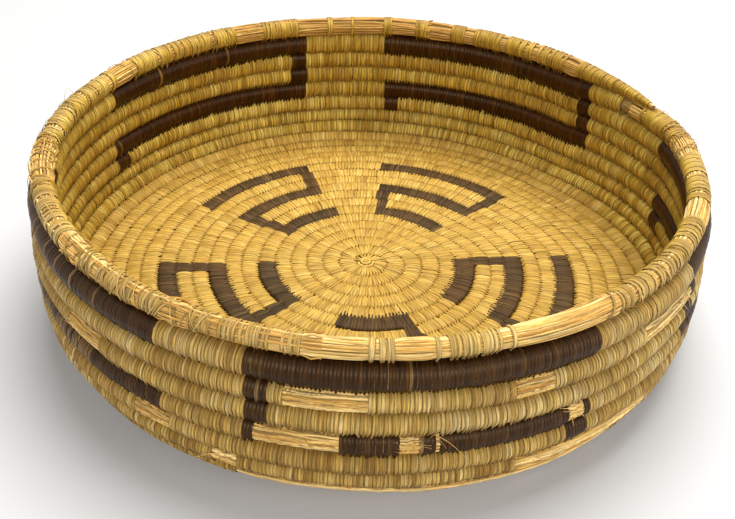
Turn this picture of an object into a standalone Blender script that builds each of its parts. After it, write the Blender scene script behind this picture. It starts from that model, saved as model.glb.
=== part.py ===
"""Coiled basket: a wide, shallow bowl wound from one grass bundle and sewn with pale and dark splints.

The bundle runs outward from a small start knot, clockwise seen from above. It lies flat for the floor,
turns up round the base, stacks into the wall and ends as a thicker round at the rim. Each round climbs
to the next one in a short stretch on the right, so that the rounds are level elsewhere. The coil is
drawn at the size of its bundle, and dark sleeves stand for the runs of dark stitches that draw a
stepped fret five times round the floor and five times round the wall. Pale sleeves are the rim's
surviving stitches. Units are metres, +Z is up, and the origin is on the table under the centre.
"""

import math

import bmesh
import bpy
import numpy as np
from mathutils import Vector

# The coil: thickness of a stitched round in the floor and base, the wall, the round under the rim and the rim
FLOOR_PITCH = 0.0098
WALL_PITCH = 0.0116
TOP_PITCH = 0.0138
RIM_THICKNESS = 0.0120

# Rounds, counted outward from the start knot
FLAT_ROUNDS = 16
FLOOR_ROUNDS = 17
BASE_ROUNDS = 3
WALL_ROUNDS = 4
RIM_ROUND = FLOOR_ROUNDS + BASE_ROUNDS + WALL_ROUNDS + 1
FIRST_ROUND = 1

# The bowl's section: a floor lifted off the table inside its standing rounds, a bend at the base and
# a slightly bulging wall
FLOOR_LIFT = 0.0024
STANDING_ROUND = 15
BEND_ROUNDS_SHARE = 1.85
BEND_ANGLE = math.radians(86)
WALL_ARC_RADIUS = 0.250

# The bowl is slightly oval: its long axis runs from front right to back left
OVAL_SHARE = 0.007
OVAL_AZIMUTH = math.radians(-45)

# Where and how each round climbs to the next
CLIMB_AZIMUTH = math.radians(24.5)
CLIMB_TURN_SHARE = 0.09
EVEN_SPIRAL_ROUNDS = 0.5
LEVELLING_ROUNDS = 5.5

# Splints and the room that they take
SPLINT_THICKNESS = 0.00065
CLEARANCE = 0.0003
STITCH_BITE = 0.00015
RIM_SEAT = 0.0008

# The start knot and the coil's two ends
KNOT_RADIUS = 0.0040
KNOT_EDGE = 0.0010
START_THICKNESS_SHARE = 0.6
TAIL_THICKNESS_SHARE = 0.40
TAIL_TURN_SHARE = 0.055
TAIL_OVERLAP_TURN_SHARE = 0.01

# The underside is worn flat by a tenth of the floor bundle's thickness
FLAT_CUT_SHARE = 0.1

# Sides and points of the wound tubes
POINTS_PER_ROUND = 24
CORE_POINTS_PER_ROUND = 12
CORE_ROUNDS = 2
NEAREST_SIDE_SHARE = 0.01
SIDES = 6
HALF_SIDE_ANGLE = math.pi / SIDES
CORNER_RATIO = 1 / math.cos(HALF_SIDE_ANGLE)
SHARP_ANGLE = math.radians(45)

# Fret units: start and end of each, as shares of a turn counterclockwise from the right
FLOOR_UNIT_TURN_SHARES = (
    (0.114, 0.239),
    (0.308, 0.422),
    (0.511, 0.631),
    (0.711, 0.822),
    (0.8975, 1.0195),
)
WALL_UNIT_TURN_SHARES = (
    (0.096, 0.2425),
    (0.294, 0.437),
    (0.521, 0.669),
    (0.706, 0.843),
    (0.908, 1.026),
)
OUTER_FLOOR_BAND_ROUND = 12
BAND_STEP_ROUNDS = 3
FLOOR_LINK_WIDTH = 0.0080
WALL_LINK_WIDTH = 0.0115
LINK_INSET = 0.0006

# Stretches of the rim whose pale stitches survive, as shares of a turn
RIM_STITCH_TURN_SHARES = (
    (0.118, 0.200),
    (0.216, 0.322),
    (0.341, 0.418),
    (0.436, 0.512),
    (0.552, 0.604),
    (0.622, 0.668),
    (0.684, 0.728),
    (0.752, 0.762),
    (0.776, 0.806),
    (0.856, 0.930),
    (0.948, 0.990),
    (1.012, 1.050),
)

# Colours as red, green and blue in linear light, then roughness
STRAW = (0.50, 0.30, 0.12, 0.80)
FLOOR_STRAW = (0.58, 0.37, 0.13, 0.80)
PALE_SPLINT = (0.66, 0.47, 0.20, 0.70)
DARK_SPLINT = (0.045, 0.022, 0.014, 0.60)


def thickness(level):
    """Thickness of a stitched round at a level, where whole levels are the rounds' own places."""
    first_wall = FLOOR_ROUNDS + BASE_ROUNDS
    levels = (first_wall - 1, first_wall, RIM_ROUND - 2, RIM_ROUND - 1, RIM_ROUND)
    sizes = (FLOOR_PITCH, WALL_PITCH, WALL_PITCH, TOP_PITCH, RIM_THICKNESS)
    return float(np.interp(level, levels, sizes))


def sleeve_apothem(level, share):
    """Half the thickness over the splints; the rim's sits clear of the dark band under it."""
    inset = np.interp(level, (RIM_ROUND - 1, RIM_ROUND), (-STITCH_BITE, RIM_SEAT))
    return (thickness(level) / 2 - float(inset)) * share


def bundle_apothem(level, share):
    """Half the thickness of the grass bundle inside the splints."""
    return sleeve_apothem(level, share) - SPLINT_THICKNESS - CLEARANCE


def centre_height():
    """Height of the standing rounds' centres over the table."""
    circumradius = bundle_apothem(FLAT_ROUNDS, 1) * CORNER_RATIO
    return circumradius * (1 - 2 * FLAT_CUT_SHARE)


def along_section(level):
    """Distance from the centre along the bowl's section, each round resting on the one before."""
    if level < FIRST_ROUND:
        return FLOOR_PITCH * level + KNOT_RADIUS / 2
    return along_section(level - 1) + (thickness(level) + thickness(level - 1)) / 2


def floor_section(distance):
    """Height and slope of the floor: lifted under the frets, then eased down to the standing rounds."""
    lifted = along_section(OUTER_FLOOR_BAND_ROUND + 1 / 2)
    run = along_section(STANDING_ROUND) - lifted
    eased = math.pi * min(max((distance - lifted) / run, 0), 1)
    fall = FLOOR_LIFT * math.pi * math.sin(eased) / (2 * run)
    return FLOOR_LIFT * (1 + math.cos(eased)) / 2, -math.atan(fall)


def section(distance):
    """Radius, height and slope of the bowl's section at a distance along it."""
    flat = along_section(FLAT_ROUNDS)
    bend_radius = BEND_ROUNDS_SHARE * WALL_PITCH
    if distance <= flat:
        return distance, *floor_section(distance)
    slope = (distance - flat) / bend_radius
    if slope <= BEND_ANGLE:
        return flat + bend_radius * math.sin(slope), bend_radius * (1 - math.cos(slope)), slope
    slope = BEND_ANGLE + (distance - flat - bend_radius * BEND_ANGLE) / WALL_ARC_RADIUS
    radius = flat + bend_radius * math.sin(BEND_ANGLE)
    radius += WALL_ARC_RADIUS * (math.sin(slope) - math.sin(BEND_ANGLE))
    height = bend_radius * (1 - math.cos(BEND_ANGLE))
    height += WALL_ARC_RADIUS * (math.cos(BEND_ANGLE) - math.cos(slope))
    return radius, height, slope


def level_at(turn):
    """Level of the coil after a number of turns: an even spiral at the core, level rounds further out."""
    round_number = math.floor(turn)
    share = turn - round_number
    half = CLIMB_TURN_SHARE / 2
    climb = (max(share - (1 - half), 0) - max(half - share, 0)) / CLIMB_TURN_SHARE
    levelled = min(max((turn - EVEN_SPIRAL_ROUNDS) / LEVELLING_ROUNDS, 0), 1)
    return round_number + (1 - levelled) * (share - 1 / 2) + levelled * climb


def end_share(turn):
    """Thickness of the bundle as a share, less than 1 where it starts and where the rim's tail thins out."""
    tail_end = RIM_ROUND + 1 + TAIL_OVERLAP_TURN_SHARE
    turns = (FIRST_ROUND, FIRST_ROUND + 1, tail_end - TAIL_TURN_SHARE, tail_end)
    return float(np.interp(turn, turns, (START_THICKNESS_SHARE, 1, 1, TAIL_THICKNESS_SHARE)))


def corner_station(turn):
    """Centre, slope and level of the coil at one of its polygon's corners."""
    level = level_at(turn)
    distance = along_section(level)
    if turn > RIM_ROUND:
        distance -= (1 - end_share(turn)) * thickness(level) / 2
    radius, height, slope = section(distance)
    azimuth = CLIMB_AZIMUTH - 2 * math.pi * turn
    radius *= 1 + OVAL_SHARE * math.cos(2 * (azimuth - OVAL_AZIMUTH))
    centre = Vector((radius * math.cos(azimuth), radius * math.sin(azimuth), height + centre_height()))
    return centre, slope, level


def station(turn):
    """The same anywhere along the polygon, on the straight run between two corners."""
    points = CORE_POINTS_PER_ROUND if turn < CORE_ROUNDS else POINTS_PER_ROUND
    before = math.floor(turn * points) / points
    share = (turn - before) * points
    first, second = corner_station(before), corner_station(before + 1 / points)
    centre = first[0].lerp(second[0], share)
    return centre, first[1] + (second[1] - first[1]) * share, first[2] + (second[2] - first[2]) * share


def turns_between(start, end):
    """The start, the polygon's corners and the end, without a corner that almost meets an end."""
    turns = [start]
    nearest = NEAREST_SIDE_SHARE / POINTS_PER_ROUND
    for step in range(math.ceil(start * POINTS_PER_ROUND), math.ceil(end * POINTS_PER_ROUND)):
        turn = step / POINTS_PER_ROUND
        on_core = turn < CORE_ROUNDS and step % (POINTS_PER_ROUND // CORE_POINTS_PER_ROUND)
        if not on_core and turn - start > nearest and end - turn > nearest:
            turns.append(turn)
    return turns + [end]


def joint_turn(round_number):
    """Where one coil ends and the next begins: the middle of the round's first straight run."""
    return round_number + 1 / (2 * POINTS_PER_ROUND)


def turn_of(round_number, turn_share):
    """Turns from the knot to a place on a round, given as a share of a turn counterclockwise."""
    return round_number + CLIMB_AZIMUTH / (2 * math.pi) + 1 - turn_share


def turn_share_of(length, round_number):
    """A length along a round as a share of its turn."""
    radius = section(along_section(round_number))[0]
    return length / (2 * math.pi * radius)


def material(name, colour):
    made = bpy.data.materials.new(name)
    made.use_nodes = True
    shader = made.node_tree.nodes["Principled BSDF"]
    shader.inputs["Base Color"].default_value = (*colour[:3], 1)
    shader.inputs["Roughness"].default_value = colour[3]
    made.diffuse_color = (*colour[:3], 1)
    return made


def collection(name, parent):
    made = bpy.data.collections.new(name)
    parent.children.link(made)
    return made


def wound_tube(name, turns, apothem_at, capped, group, skin):
    """A six-sided tube along the coil, with two flats facing its neighbouring rounds."""
    curve = bpy.data.curves.new(name, "CURVE")
    curve.dimensions = "3D"
    curve.twist_mode = "Z_UP"
    curve.bevel_depth = FLOOR_PITCH / 2
    curve.bevel_resolution = 1
    curve.use_fill_caps = capped
    spline = curve.splines.new("POLY")
    spline.points.add(len(turns) - 1)
    for point, turn in zip(spline.points, turns):
        centre, slope, level = station(turn)
        point.co = (*centre, 1)
        point.tilt = slope + HALF_SIDE_ANGLE
        point.radius = apothem_at(level, end_share(turn)) * CORNER_RATIO / curve.bevel_depth
    curve.materials.append(skin)
    made = bpy.data.objects.new(name, curve)
    group.objects.link(made)
    return made


def as_mesh(made, group):
    """The tube as a mesh object of the same name, with its caps welded on."""
    name = made.name
    graph = bpy.context.evaluated_depsgraph_get()
    mesh = bpy.data.meshes.new_from_object(made.evaluated_get(graph))
    placed = made.matrix_world.copy()
    curve = made.data
    bpy.data.objects.remove(made)
    bpy.data.curves.remove(curve)
    mesh.name = name
    weld(mesh)
    solid = bpy.data.objects.new(name, mesh)
    solid.matrix_world = placed
    group.objects.link(solid)
    return solid


def weld(mesh):
    work = bmesh.new()
    work.from_mesh(mesh)
    bmesh.ops.remove_doubles(work, verts=work.verts, dist=CLEARANCE / 100)
    work.to_mesh(mesh)
    work.free()
    mesh.shade_smooth()
    mesh.set_sharp_from_angle(angle=SHARP_ANGLE)


def coil(name, start, end, group, skin):
    tube = wound_tube(name, turns_between(start, end), bundle_apothem, True, group, skin)
    print(name, "least gap to itself, mm:", round(least_gap(tube) * 1000, 2))
    return as_mesh(tube, group)


def sleeve(name, round_number, from_share, to_share, group, skin):
    """Splints wrapped round one stretch of a round: an open tube given the splint's thickness inward."""
    turns = turns_between(turn_of(round_number, to_share), turn_of(round_number, from_share))
    wrap = as_mesh(wound_tube(name, turns, sleeve_apothem, False, group, skin), group)
    shell = wrap.modifiers.new("splint", "SOLIDIFY")
    shell.thickness = SPLINT_THICKNESS
    shell.offset = -1
    shell.use_even_offset = True
    return wrap


def fret(name, runs, group, cutters, skin):
    """One fret unit: its first run is the object, and the other runs are joined to it."""
    others = collection(name + "_runs", cutters)
    for index, run in enumerate(runs[1:]):
        helper = sleeve(f"{name}_run_{index + 2}", *run, others, skin)
        helper.hide_render = True
        helper.display_type = "WIRE"
    unit = sleeve(name, *runs[0], group, skin)
    join = unit.modifiers.new("runs", "BOOLEAN")
    join.operation = "UNION"
    join.operand_type = "COLLECTION"
    join.collection = others


def link_run(round_number, width, start=None, end=None):
    """A link on one round, just inside the start or the end of its unit's bands."""
    inset = turn_share_of(LINK_INSET, round_number)
    length = turn_share_of(width, round_number)
    if end is None:
        return round_number, start + inset, start + inset + length
    return round_number, end - inset - length, end - inset


def floor_runs(start, end):
    """Three bands, three rounds apart, linked at the far end and then at the near end."""
    outer = OUTER_FLOOR_BAND_ROUND
    middle = outer - BAND_STEP_ROUNDS
    inner = middle - BAND_STEP_ROUNDS
    runs = [(middle, start, end), (inner, start, end), (outer, start, end)]
    for round_number in range(inner + 1, middle):
        runs.append(link_run(round_number, FLOOR_LINK_WIDTH, end=end))
    for round_number in range(middle + 1, outer):
        runs.append(link_run(round_number, FLOOR_LINK_WIDTH, start=start))
    return runs


def wall_runs(start, end):
    """Two bands under the rim, linked at the near end, with the start of a link below the far end."""
    top = RIM_ROUND - 1
    low = top - BAND_STEP_ROUNDS
    runs = [(top, start, end), (low, start, end)]
    for round_number in range(low + 1, top):
        runs.append(link_run(round_number, WALL_LINK_WIDTH, start=start))
    runs.append(link_run(low - 1, WALL_LINK_WIDTH, end=end))
    return runs


def start_knot(group, skin):
    height = centre_height() + bundle_apothem(FLAT_ROUNDS, 1)
    bpy.ops.mesh.primitive_cylinder_add(
        vertices=POINTS_PER_ROUND,
        radius=KNOT_RADIUS,
        depth=height,
        location=(0, 0, FLOOR_LIFT + height / 2),
    )
    knot = bpy.context.object
    knot.name = "start_knot"
    knot.data.name = knot.name
    for owner in list(knot.users_collection):
        owner.objects.unlink(knot)
    group.objects.link(knot)
    knot.data.materials.append(skin)
    edge = knot.modifiers.new("edge", "BEVEL")
    edge.width = KNOT_EDGE
    edge.segments = 2
    edge.limit_method = "ANGLE"
    knot.data.shade_smooth()
    knot.data.set_sharp_from_angle(angle=SHARP_ANGLE)
    return knot


def table_cutter(group):
    """A slab whose top face is the table."""
    side = 4 * section(along_section(RIM_ROUND))[0]
    depth = 2 * RIM_THICKNESS
    bpy.ops.mesh.primitive_cube_add(size=1, location=(0, 0, -depth / 2))
    slab = bpy.context.object
    slab.name = "table_cutter"
    slab.scale = (side, side, depth)
    bpy.ops.object.transform_apply(location=False, rotation=False, scale=True)
    for owner in list(slab.users_collection):
        owner.objects.unlink(slab)
    group.objects.link(slab)
    slab.hide_render = True
    slab.display_type = "WIRE"
    return slab


def least_gap(tube):
    """Least gap of a wound tube to its own other rounds, measured between the corners of its rings."""
    graph = bpy.context.evaluated_depsgraph_get()
    mesh = bpy.data.meshes.new_from_object(tube.evaluated_get(graph))
    corners = np.array([vertex.co for vertex in mesh.vertices])
    bpy.data.meshes.remove(mesh)
    rings = corners[2 * SIDES :].reshape(-1, SIDES, 3)
    centres = rings.mean(axis=1)
    azimuths = np.unwrap(np.arctan2(centres[:, 1], centres[:, 0]))
    turns = (azimuths[0] - azimuths) / (2 * math.pi)
    least = math.inf
    for here in range(len(rings)):
        apart = np.flatnonzero(np.abs(turns - turns[here]) > 1 / 2)
        if not len(apart):
            continue
        away = centres[apart] - centres[here]
        far = np.linalg.norm(away, axis=1)
        unit = away / far[:, None]
        reach = ((rings[here] - centres[here]) @ unit.T).max(axis=0)
        other = rings[apart] - centres[apart][:, None]
        back = -np.einsum("ijk,ik->ij", other, unit).min(axis=1)
        least = min(least, (far - reach - back).min())
    return least


def clear_scene():
    for made in list(bpy.data.objects):
        bpy.data.objects.remove(made)


def build():
    clear_scene()
    basket = collection("coiled_basket", bpy.context.scene.collection)
    cutters = collection("cutters", bpy.context.scene.collection)
    straw = material("grass_bundle", STRAW)
    floor_straw = material("floor_grass_bundle", FLOOR_STRAW)
    pale = material("pale_splint", PALE_SPLINT)
    dark = material("dark_splint", DARK_SPLINT)

    start_knot(basket, floor_straw)
    base_start = joint_turn(FLOOR_ROUNDS + 1)
    wall_start = joint_turn(FLOOR_ROUNDS + BASE_ROUNDS + 1)
    rim_start = joint_turn(RIM_ROUND)
    half_gap = turn_share_of(CLEARANCE, FLOOR_ROUNDS) / 2
    tail_end = RIM_ROUND + 1 + TAIL_OVERLAP_TURN_SHARE
    floor_coil = coil("floor_coil", FIRST_ROUND, base_start - half_gap, basket, floor_straw)
    underside = floor_coil.modifiers.new("flat_underside", "BOOLEAN")
    underside.operation = "DIFFERENCE"
    underside.object = table_cutter(cutters)
    coil("base_coil", base_start + half_gap, wall_start - half_gap, basket, straw)
    coil("wall_coil", wall_start + half_gap, rim_start - half_gap, basket, straw)
    coil("rim_coil", rim_start + half_gap, tail_end, basket, straw)

    for index, (start, end) in enumerate(FLOOR_UNIT_TURN_SHARES):
        fret(f"floor_fret_{index + 1}", floor_runs(start, end), basket, cutters, dark)
    for index, (start, end) in enumerate(WALL_UNIT_TURN_SHARES):
        fret(f"wall_fret_{index + 1}", wall_runs(start, end), basket, cutters, dark)
    for index, (start, end) in enumerate(RIM_STITCH_TURN_SHARES):
        sleeve(f"rim_stitching_{index + 1:02d}", RIM_ROUND, start, end, basket, pale)


build()
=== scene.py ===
"""Looks of the coiled basket: grass stems, pale and dark splint stitches, frayed ends, light and camera.

The coil follows the same path as the solids that it stands for. Every stitch is a ribbon that goes up
through a hole in the round before, over its own round and down to the next hole. Units are metres.
"""

import math

import bpy
import numpy as np
from mathutils import Matrix, Vector


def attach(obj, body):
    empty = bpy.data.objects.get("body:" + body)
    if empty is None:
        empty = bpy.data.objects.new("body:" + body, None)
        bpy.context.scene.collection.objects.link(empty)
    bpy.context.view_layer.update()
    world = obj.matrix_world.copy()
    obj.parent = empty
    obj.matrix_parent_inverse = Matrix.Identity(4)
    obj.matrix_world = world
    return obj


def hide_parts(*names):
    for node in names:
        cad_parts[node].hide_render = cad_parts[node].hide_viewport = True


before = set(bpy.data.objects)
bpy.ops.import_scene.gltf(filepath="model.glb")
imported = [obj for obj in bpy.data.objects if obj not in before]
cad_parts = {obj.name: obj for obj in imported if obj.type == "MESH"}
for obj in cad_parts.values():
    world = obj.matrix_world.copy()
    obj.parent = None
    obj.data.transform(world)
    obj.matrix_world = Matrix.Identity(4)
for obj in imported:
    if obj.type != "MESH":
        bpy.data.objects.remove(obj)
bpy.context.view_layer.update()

# Thickness of a stitched round in the floor, the wall, the round under the rim and the rim
FLOOR_PITCH = 0.0098
WALL_PITCH = 0.0116
TOP_PITCH = 0.0138
RIM_THICKNESS = 0.0120

# Rounds, counted outward from the start knot, and the turns between which the coil runs
FLAT_ROUNDS = 16
FLOOR_ROUNDS = 17
RIM_ROUND = 25
FIRST_TURN = 1.0
LAST_TURN = 26.03

# The bowl's section: a floor lifted off the table inside its standing round, a bend and a bulging wall
KNOT_RADIUS = 0.0040
CENTRE_HEIGHT = 0.00379
FLOOR_LIFT = 0.0024
LIFTED_TO_ROUND = 12.5
STANDING_ROUND = 15
BEND_ROUNDS_SHARE = 1.85
BEND_RADIUS = BEND_ROUNDS_SHARE * WALL_PITCH
BEND_ANGLE = math.radians(86)
WALL_ARC_RADIUS = 0.250

# The bowl is slightly oval: its long axis runs from front right to back left
OVAL_SHARE = 0.007
OVAL_AZIMUTH = math.radians(-45)

# Where and how each round climbs to the next
CLIMB_AZIMUTH = math.radians(24.5)
CLIMB_TURN_SHARE = 0.09
EVEN_SPIRAL_TURNS = 0.5
LEVELLING_TURNS = 5.5

# The rim's tail, and how much thinner the rim is at the front
TAIL_TURN_SHARE = 0.075
TAIL_THICKNESS_SHARE = 0.17
FRONT_RIM_THINNING_SHARE = 0.20

# Levels of the rounds, their thicknesses and their distances from the centre along the bowl's section
LEVELS = np.arange(27)
SIZE_LEVELS = (19, 20, 23, 24, 25)
SIZES = (FLOOR_PITCH, WALL_PITCH, WALL_PITCH, TOP_PITCH, RIM_THICKNESS)
ROUND_SIZES = np.interp(LEVELS, SIZE_LEVELS, SIZES)
ALONG = KNOT_RADIUS / 2 + np.concatenate([[0], np.cumsum((ROUND_SIZES[1:] + ROUND_SIZES[:-1]) / 2)])

# How the hand-made coil strays outward and inward: size, waves in a round and their shift from round to round
OUTWARD_WAVES = ((0.00022, 5, 1.3), (0.00016, 11, 2.1))
INWARD_WAVES = ((0.00018, 7, -1.7), (0.00014, 17, 0.9))

# The bundles are pressed into rounded squares: powers of the curve, squarer in the floor than in the wall
SQUARE_LEVELS = (14, 19)
SQUARE_POWERS = (4.2, 2.1)

# What lies lower than this is pressed flat against the table, layer over layer
PRESSED_HEIGHT = 0.0005

# Fret units: start and end of each, as shares of a turn counterclockwise from the right
FLOOR_UNIT_TURN_SHARES = ((0.114, 0.239), (0.308, 0.422), (0.511, 0.631), (0.711, 0.822), (0.8975, 1.0195))
WALL_UNIT_TURN_SHARES = ((0.096, 0.2425), (0.294, 0.437), (0.521, 0.669), (0.706, 0.843), (0.908, 1.026))
FLOOR_BAND_ROUNDS = (6, 9, 12)
WALL_BAND_ROUNDS = (21, 24)
FLOOR_LINK_WIDTH = 0.0080
WALL_LINK_WIDTH = 0.0115

# Stretches of the rim whose pale stitches survive, the thinned one among them and the tail's
RIM_STITCH_TURN_SHARES = (
    (0.118, 0.200),
    (0.216, 0.322),
    (0.341, 0.418),
    (0.436, 0.512),
    (0.552, 0.604),
    (0.622, 0.668),
    (0.684, 0.728),
    (0.752, 0.762),
    (0.776, 0.806),
    (0.856, 0.930),
    (0.948, 0.990),
    (1.012, 1.050),
)
THINNED_TURN_SHARES = (0.222, 0.306)
TAIL_STITCH_TURN_SHARES = (0.047, 0.108)

# Bare straw below the rim: round, then start and end as shares of a turn
BARE_PATCH_TURN_SHARES = (
    (23, 0.722, 0.752),
    (23, 0.807, 0.824),
    (21, 0.710, 0.742),
    (21, 0.764, 0.768),
    (21, 0.7694, 0.7725),
    (21, 0.7774, 0.7792),
    (21, 0.832, 0.839),
    (23, 0.872, 0.912),
    (23, 0.560, 0.568),
    (22, 0.612, 0.636),
    (20, 0.655, 0.672),
    (19, 0.690, 0.702),
    (19, 0.812, 0.884),
    (18, 0.700, 0.866),
)

# Where the stitches go: their distance, how it swings round the basket, and how far each strays
FIRST_STITCH_TURN = 0.55
UNSEWN_END_TURN_SHARE = 0.01
SEWING_STEP_TURN_SHARE = 0.0005
PITCH_LEVELS = (1, 4, 7, 17, 20, 24, 25)
PITCHES = (0.0015, 0.0018, 0.0021, 0.0021, 0.0019, 0.0019, 0.0019)
PITCH_SWING_SHARE = 0.12
PITCH_SWING_LEVELS = (14, 20)
PITCH_SWING_LEVEL_SHARES = (0.3, 1.0)
PLACE_CHANCE_SHARE = 0.08
HOLE_REACH_SHARE = 0.6

# A stitch's width, lean along the round and lift off it, with shares of the distance to the next stitch
LEAST_WIDTH = 0.0010
MOST_WIDTH = 0.0034
WIDTH_RANGE_SHARES = (0.98, 1.12)
RIM_WIDTH_RANGE_SHARES = (0.88, 1.10)
LEAN_LEVELS = (1, 15, 19)
LEAN_SHARES = (0.75, 0.70, 0.15)
LEAN_RANGE_SHARES = (0.8, 1.2)
RIM_LEAN_SHARE = 0.12
RIM_LEAN_CHANCE_SHARE = 0.30
RIM_LEAN_RANGE_SHARES = (-0.9, 1.1)
LIFT = 0.00007
LIFT_RANGE_SHARES = (-1.5, 2)
RIM_LIFT = 0.00012

# How far a stitch bites into the round before, as shares of that round's half thickness
BITE_LEVELS = (1, 14, 19, 24, 25)
INSIDE_BITE_SHARES = (0.20, 0.20, 0.20, 0.17, 0.12)
OUTSIDE_BITE_SHARES = (0.20, 0.20, 0.12, 0.09, 0.012)
BITE_CHANCE_SHARE = 0.22
BITE_RANGE_SHARES = (0.5, 1.6)
DARK_BITE_LEVELS = (17, 20)
DARK_BITE_SHARES = (2.7, 1.3)
BITE_OVER_DARK_SHARE = 0.25

# A stitch's ribbon: its path climbs from the hole, goes round the bundle at these angles and dives again
TIP_HEIGHT = 0.00018
MIDDLE_DIP = 0.00012
DIVE_DEPTH = 0.0007
DIVE_BITE_SHARE = 0.13
LOW_TIP_HEIGHT = 0.0001
LOW_DIVE_DEPTH = 0.0008
LOW_DIVE_BITE_SHARE = 0.03
LOW_DIVE_SHARE = 1.6
BODY_ANGLES = np.radians([128, 110, 92, 74, 55, 32, 0, -32, -60, -90, -118])
SPLINT_THICKNESS = 0.00055
CROWN = 0.00005
EDGE_SINK = 0.00017
ACROSS_SHARES = np.array([-1.0, -0.42, 0.42, 1.0])
ACROSS_HEIGHTS = np.array([-EDGE_SINK, CROWN, CROWN, -EDGE_SINK])

# Along that path: the ribbon's width, how much of it shows inside the bowl, and how much painted shade
# darkens it where it dives into the crevices between rounds and where the next round shades its shoulder
WIDTH_SHARES = np.array([0.22, 0.50, 0.80] + [0.97] + [1.03] * 8 + [1.02, 0.98] + [0.90, 0.66, 0.4])
# The inside share picks out the path points that take the painted bounce tint inside the bowl
INSIDE_SHARES = np.array([1] * 8 + [0.8, 0.5, 0.2] + [0] * 6)
# Painted shade: dark at the dives and low ends in the crevices, and on the outer shoulder that the next
# round's tips cover, so that dark dots show between the tips
CREVICE_SHADE_LEVELS = (14, 18)
FLOOR_CREVICE_SHADE_SHARES = np.array(
    [1, 0.42, 0.12] + [0] * 4 + [0.12, 0.75, 1, 0.45] + [0] * 2 + [0.12, 0.50, 0.9, 1]
)
WALL_CREVICE_SHADE_SHARES = np.array(
    [1, 0.77, 0.57, 0.30, 0.10] + [0] * 4 + [0.40, 0.45, 0.10, 0] + [0.37, 0.70, 0.9, 1]
)

# How pale a stitch is, from 0 to 1: waves of tone, chance, and rounds that are darker or paler than the rest
TONE_SHARE = 0.52
TONE_WAVE_SHARE = 0.10
TONE_WAVES = ((1, 9, 3.1), (1, 23, 1.7), (0.8, 41, -2.3))
TONE_CHANCE_LEVELS = (16, 18, 20, 21)
TONE_CHANCE_SHARES = (0.11, 0.24, 0.24, 0.18)
# Round 19's extra paleness is painted light, for the foot of the wall that curves up towards the lamps
TONE_LEVELS = (1, 13, 16, 17.5, 19, 20, 24, 25)
TONE_LEVEL_SHARES = (0.02, -0.02, -0.04, 0.04, 0.16, 0.08, 0.08, 0.24)

# Painted light and shade on the wall: paler on the right, towards the lamps, and at its foot at the back,
# which curves up to the light, and darker at its foot in front; the rim is darker on the right and at the
# back
RIGHT_PAINTED_LIGHT_SHARE = 0.20
RIGHT_PAINTED_LIGHT_AZIMUTH = -0.35
RIGHT_PAINTED_LIGHT_LEVELS = (18, 21)
FOOT_PAINTED_LIGHT_SHARE = 0.24
FOOT_PAINTED_LIGHT_LEVELS = (17, 18, 20, 21)
RIM_TONE_SHARE = 0.32
RIM_TONE_KEPT_SHARE = 0.6
RIM_BACK_TONE_SHARE = 0.28
RIM_RIGHT_TONE_SHARE = 0.12

# Dark stitches: their tone, and where they are worn pale: a few everywhere, more at one place, and on two
# bands, each with its round, start, end and the share of its stitches
DARK_TONE_SHARE = 0.40
DARK_TONE_CHANCE_SHARE = 0.22
DARK_TONE_MOST_SHARE = 0.85
WORN_TONE_SHARES = (0.9, 1.0)
WORN_SHARE = 0.008
WORN_SPOT_SHARE = 0.22
WORN_SPOT_AZIMUTH = math.radians(249)
WORN_SPOT_SPREAD_ANGLE = 0.16
WORN_BAND_TURN_SHARES = ((21, 0.53, 0.628, 0.70), (24, 0.53, 0.64, 0.16))

# Rim stitches that are lost: one by one and in clumps, and most of the thinned stretch
LOST_SHARE = 0.05
CLUMP_WAVES = (47, 83)
CLUMP_SHIFT = 1
LOST_BELOW = -1.35
THINNED_BELOW = 0.9

# The grass bundle under the stitches: a lobed tube that lies against the rounds beside it
BUNDLE_STEP_TURN_SHARE = 1 / 120
BUNDLE_SIDES = 36
BUNDLE_LOBES = 12
BUNDLE_LOBE_SHARE = 0.03
BUNDLE_TWIST_ANGLE = 9
BUNDLE_SLACK_TURNS = (24.5, 25.1)
BUNDLE_SLACKS = (0.0002, 0.0009)
LEAST_BUNDLE_RADIUS = 0.0003
RIDGE_TURNS = (23.9, 24.0)
RIDGE_HEIGHT = 0.0008
RIDGE_POWER = 14

# The coil's four lengths, each from its first turn to the next one's
COILS = (
    ("floor_coil", FIRST_TURN, "floor_straw"),
    ("base_coil", 18.02, "wall_straw"),
    ("wall_coil", 21.02, "wall_straw"),
    ("rim_coil", 25.02, "rim_straw"),
)

# Separate stems, where no stitch hides the bundle: each sways and swells along its stretch at its own pace
STEM_RADIUS = 0.00060
RIM_STEM_RADIUS = 0.00056
STEM_RADIUS_SHARES = (0.72, 1.15)
STEM_SINK_SHARE = 0.9
SEWN_STEM_DEPTH = 0.0006
SEWN_EDGE_TURN_SHARE = 0.003
SEWN_EDGE_SHARE = 0.8
LEAST_STEM_REACH = 0.0002
STEM_SWELL = 0.0003
STEM_SWELL_ANGLE = 40
STEM_SWAY = 0.06
STEM_SWAY_ANGLE = 6
STEM_PACE_SHARES = (1, 3)
STEM_PLACE_CHANCE_SHARE = 0.25
STEM_BACK_SHADE_SHARE = 0.85

# The stems' stretches: how many lie round the bundle, the step along them and how far they cross each other
RIM_STEM_TURN_SHARES = (0.041, 1.06)
RIM_STEMS = 40
RIM_STEM_STEP = 0.003
STEM_CROSSING_ANGLE = 0.4
LOOSE_STEM_TURN_SHARES = ((0.515, 0.600), (0.606, 0.735), (0.212, 0.318))
LOOSE_STEMS = 9
LOOSE_STEM_STEP = 0.004
LOOSE_STEM_LIFT = 0.0006
BARE_STEMS = 32
BARE_STEM_STEP = 0.001
BARE_STEM_CROSSING_ANGLE = 0.1
BARE_STEM_REACH_TURN_SHARE = 0.0012

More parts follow.
